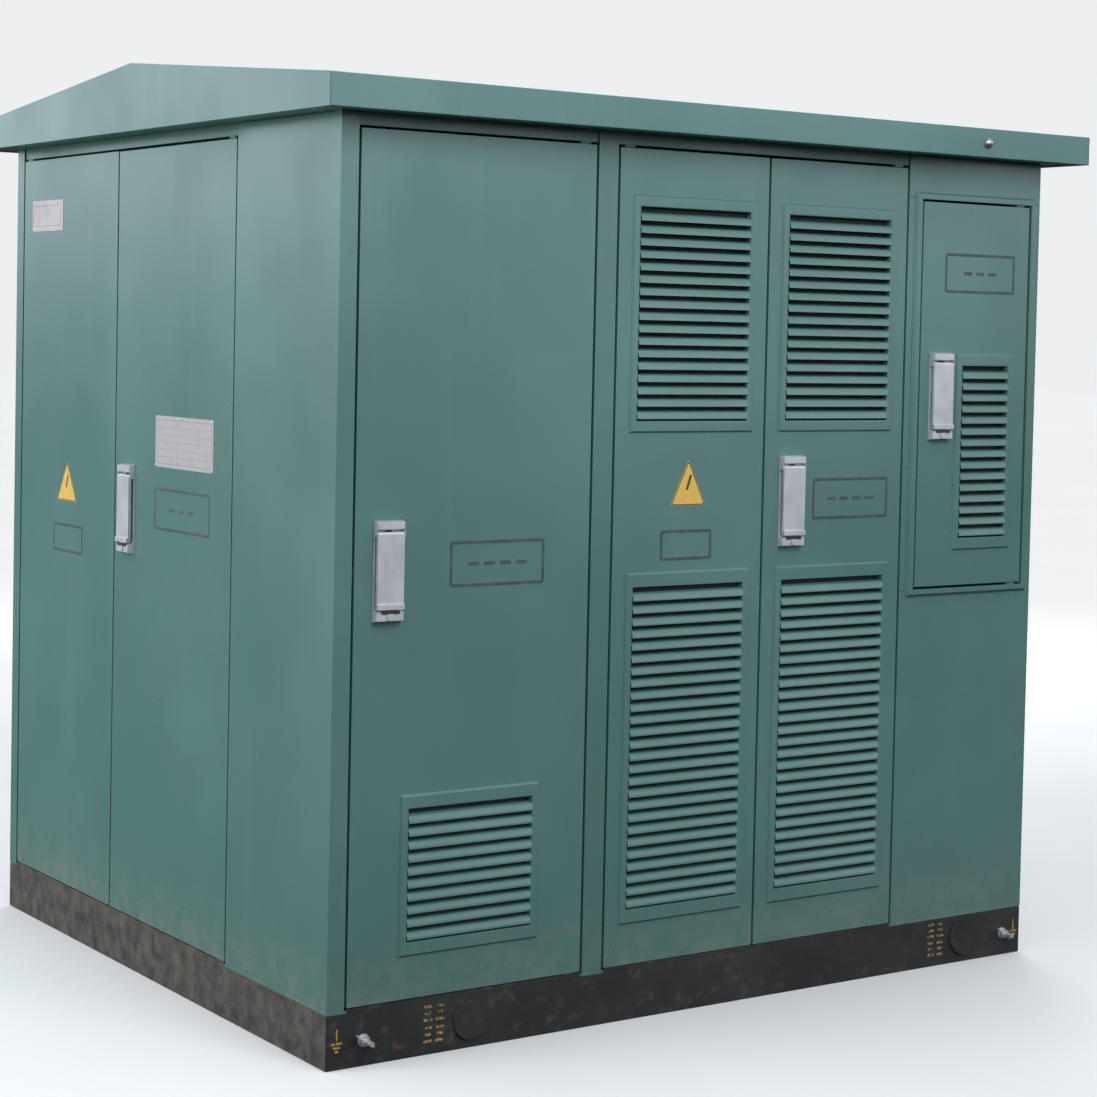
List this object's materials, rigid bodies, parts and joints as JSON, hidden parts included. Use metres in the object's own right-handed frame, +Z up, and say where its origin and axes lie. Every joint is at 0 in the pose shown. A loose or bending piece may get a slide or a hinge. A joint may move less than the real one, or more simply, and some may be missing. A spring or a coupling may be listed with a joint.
{
  "type": "prefabricated transformer substation enclosure",
  "caption": "Walk-up sheet steel transformer kiosk with louvred doors, overhanging pitched roof, black channel base and the transformer and switchboards inside.",
  "frame": {"origin": "middle of the footprint, on the ground under the base", "axes": "+X along the front from left to right, +Y from the front to the rear, +Z up"},
  "size_m": [2.35, 2.0738, 2.331],
  "materials": {
    "green_paint": "satin powder coat",
    "frame_paint": "satin powder coat",
    "base_black": "matt black paint",
    "handle_metal": "satin stainless",
    "zinc_steel": "zinc plated",
    "bright_steel": "bright zinc",
    "tank_paint": "semi gloss grey",
    "core_steel": "matt lamination steel",
    "copper": "drawn copper",
    "porcelain": "brown glazed porcelain",
    "grey_paint": "light grey powder coat",
    "black_plastic": "moulded",
    "meter_plastic": "moulded",
    "cable_rubber": "moulded screened elbow"
  },
  "bodies": {
    "enclosure": {"base_frame": "base_black", "floor_plates": "zinc_steel", "frame_posts": "frame_paint", "frame_rails": "frame_paint", "fixed_panels": "green_paint", "meter_panel": "green_paint", "meter_door_frame": "green_paint", "room_partitions": "grey_paint", "roof_sheets": "green_paint", "roof_gables": "green_paint", "roof_rafters": "frame_paint", "roof_soffit": "frame_paint", "panel_bolts": "zinc_steel", "earth_terminals": "bright_steel", "hinge_pins": "zinc_steel", "louvre_rear": "green_paint", "transformer_tank": "tank_paint", "transformer_cover": "tank_paint", "transformer_core": "core_steel", "transformer_windings": "copper", "transformer_bushings": "porcelain", "transformer_fittings": "zinc_steel", "lv_switchboard": "grey_paint", "lv_breakers": "black_plastic", "lv_busbars": "copper", "hv_switchgear": "grey_paint", "hv_cables": "cable_rubber", "automation_cabinet": "grey_paint", "energy_meters": "meter_plastic"},
    "door_auto": {"door_auto": "green_paint", "louvre_auto": "green_paint", "handle_plate_auto": "handle_metal"},
    "door_tx_left": {"door_tx_left": "green_paint", "louvre_tx_left": "green_paint"},
    "door_tx_right": {"door_tx_right": "green_paint", "louvre_tx_right": "green_paint", "handle_plate_tx": "handle_metal"},
    "door_meter": {"door_meter": "green_paint", "louvre_meter": "green_paint", "handle_plate_meter": "handle_metal"},
    "door_side_a": {"door_side_a": "green_paint", "handle_plate_side": "handle_metal"},
    "door_side_b": {"door_side_b": "green_paint"},
    "door_hv_a": {"door_hv_a": "green_paint", "handle_plate_hv": "handle_metal"},
    "door_hv_b": {"door_hv_b": "green_paint"},
    "lever_auto": {"handle_lever_auto": "handle_metal"},
    "latch_auto": {"latch_bolt_auto": "zinc_steel"},
    "lever_tx": {"handle_lever_tx": "handle_metal"},
    "latch_tx": {"latch_bolt_tx": "zinc_steel"},
    "lever_meter": {"handle_lever_meter": "handle_metal"},
    "latch_meter": {"latch_bolt_meter": "zinc_steel"},
    "lever_side": {"handle_lever_side": "handle_metal"},
    "latch_side": {"latch_bolt_side": "zinc_steel"},
    "lever_hv": {"handle_lever_hv": "handle_metal"},
    "latch_hv": {"latch_bolt_hv": "zinc_steel"},
    "lifting_pin_fl": {"lifting_pin_fl": "base_black"},
    "lifting_pin_fr": {"lifting_pin_fr": "base_black"},
    "lifting_pin_rl": {"lifting_pin_rl": "base_black"},
    "lifting_pin_rr": {"lifting_pin_rr": "base_black"}
  },
  "joints": [
    {"name": "door_auto_hinge", "type": "hinge", "parent": "enclosure", "child": "door_auto", "pos_m": [-0.422, -0.913, 1.1325], "axis": [0, 0, 1], "range_deg": [0, 90]},
    {"name": "door_tx_left_hinge", "type": "hinge", "parent": "enclosure", "child": "door_tx_left", "pos_m": [-0.292, -0.913, 1.1325], "axis": [0, 0, -1], "range_deg": [0, 90]},
    {"name": "door_tx_right_hinge", "type": "hinge", "parent": "enclosure", "child": "door_tx_right", "pos_m": [0.576, -0.913, 1.1325], "axis": [0, 0, 1], "range_deg": [0, 90]},
    {"name": "door_meter_hinge", "type": "hinge", "parent": "enclosure", "child": "door_meter", "pos_m": [1.014, -0.921, 1.534], "axis": [0, 0, 1], "range_deg": [0, 90]},
    {"name": "door_side_a_hinge", "type": "hinge", "parent": "enclosure", "child": "door_side_a", "pos_m": [-1.075, -0.392, 1.1325], "axis": [0, 0, 1], "range_deg": [0, 115]},
    {"name": "door_side_b_hinge", "type": "hinge", "parent": "enclosure", "child": "door_side_b", "pos_m": [-1.075, 0.846, 1.1325], "axis": [0, 0, -1], "range_deg": [0, 115]},
    {"name": "door_hv_a_hinge", "type": "hinge", "parent": "enclosure", "child": "door_hv_a", "pos_m": [1.075, -0.392, 1.1325], "axis": [0, 0, -1], "range_deg": [0, 115]},
    {"name": "door_hv_b_hinge", "type": "hinge", "parent": "enclosure", "child": "door_hv_b", "pos_m": [1.075, 0.846, 1.1325], "axis": [0, 0, 1], "range_deg": [0, 115]},
    {"name": "lever_auto_pull", "type": "hinge", "parent": "door_auto", "child": "lever_auto", "pos_m": [-0.952, -0.938, 1.215], "axis": [-1, 0, 0], "range_deg": [0, 50]},
    {"name": "latch_auto_slide", "type": "slide", "parent": "door_auto", "child": "latch_auto", "axis": [1, 0, 0], "range_m": [0, 0.0182]},
    {"name": "lever_tx_pull", "type": "hinge", "parent": "door_tx_right", "child": "lever_tx", "pos_m": [0.231, -0.938, 1.349], "axis": [-1, 0, 0], "range_deg": [0, 50]},
    {"name": "latch_tx_slide", "type": "slide", "parent": "door_tx_right", "child": "latch_tx", "axis": [1, 0, 0], "range_m": [0, 0.0182]},
    {"name": "lever_meter_pull", "type": "hinge", "parent": "door_meter", "child": "lever_meter", "pos_m": [0.728, -0.946, 1.616], "axis": [-1, 0, 0], "range_deg": [0, 50]},
    {"name": "latch_meter_slide", "type": "slide", "parent": "door_meter", "child": "latch_meter", "axis": [1, 0, 0], "range_m": [0, 0.0182]},
    {"name": "lever_side_pull", "type": "hinge", "parent": "door_side_a", "child": "lever_side", "pos_m": [-1.1, 0.157, 1.283], "axis": [0, 1, 0], "range_deg": [0, 50]},
    {"name": "latch_side_slide", "type": "slide", "parent": "door_side_a", "child": "latch_side", "axis": [0, -1, 0], "range_m": [0, 0.0182]},
    {"name": "lever_hv_pull", "type": "hinge", "parent": "door_hv_a", "child": "lever_hv", "pos_m": [1.1, 0.157, 1.283], "axis": [0, -1, 0], "range_deg": [0, 50]},
    {"name": "latch_hv_slide", "type": "slide", "parent": "door_hv_a", "child": "latch_hv", "axis": [0, -1, 0], "range_m": [0, 0.0182]},
    {"name": "lifting_pin_fl_slide", "type": "slide", "parent": "enclosure", "child": "lifting_pin_fl", "axis": [0, -1, 0], "range_m": [0, 0.11]},
    {"name": "lifting_pin_fr_slide", "type": "slide", "parent": "enclosure", "child": "lifting_pin_fr", "axis": [0, -1, 0], "range_m": [0, 0.11]},
    {"name": "lifting_pin_rl_slide", "type": "slide", "parent": "enclosure", "child": "lifting_pin_rl", "axis": [0, 1, 0], "range_m": [0, 0.11]},
    {"name": "lifting_pin_rr_slide", "type": "slide", "parent": "enclosure", "child": "lifting_pin_rr", "axis": [0, 1, 0], "range_m": [0, 0.11]}
  ],
  "couplings": [
    {"joint": "latch_auto_slide", "follows": "lever_auto_pull", "m_per_rad": 0.020626},
    {"joint": "latch_tx_slide", "follows": "lever_tx_pull", "m_per_rad": 0.020626},
    {"joint": "latch_meter_slide", "follows": "lever_meter_pull", "m_per_rad": 0.020626},
    {"joint": "latch_side_slide", "follows": "lever_side_pull", "m_per_rad": 0.020626},
    {"joint": "latch_hv_slide", "follows": "lever_hv_pull", "m_per_rad": 0.020626}
  ]
}
